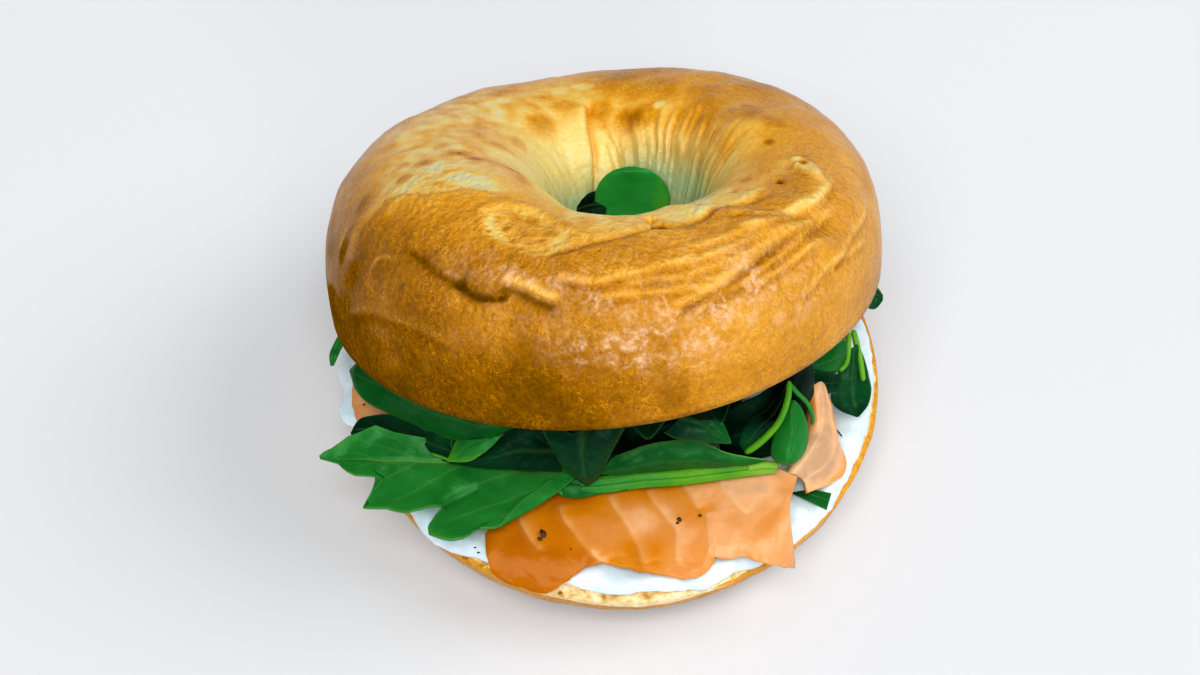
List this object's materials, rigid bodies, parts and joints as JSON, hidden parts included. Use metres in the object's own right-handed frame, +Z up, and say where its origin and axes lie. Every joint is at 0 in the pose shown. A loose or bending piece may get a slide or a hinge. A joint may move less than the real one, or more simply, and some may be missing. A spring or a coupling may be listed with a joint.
{
  "type": "bagel sandwich",
  "caption": "Sliced bagel filled with smoked salmon, soft cheese and a heap of rocket leaves, its upper half leaning back on the filling.",
  "frame": {"origin": "on the surface that it stands on, under the middle of the whole sandwich's box", "axes": "+Z up, +X to the right as seen from the front, +Y to the back; the upper half opens towards -Y"},
  "size_m": [0.1123, 0.1107, 0.0866],
  "materials": {
    "crust": "satin golden-brown baked crust with cream crumb on the cut faces",
    "soft_cheese": "moist white spread",
    "smoked_salmon": "moist orange flesh with pale lines",
    "rocket": "satin green leaf"
  },
  "bodies": {
    "root": {"bagel_base": "crust", "soft_cheese": "soft_cheese", "salmon_front": "smoked_salmon", "salmon_left": "smoked_salmon", "salmon_back": "smoked_salmon", "salmon_fold": "smoked_salmon", "rocket_salad": "rocket", "rocket_leaf": "rocket", "bagel_lid": "crust"}
  },
  "joints": []
}
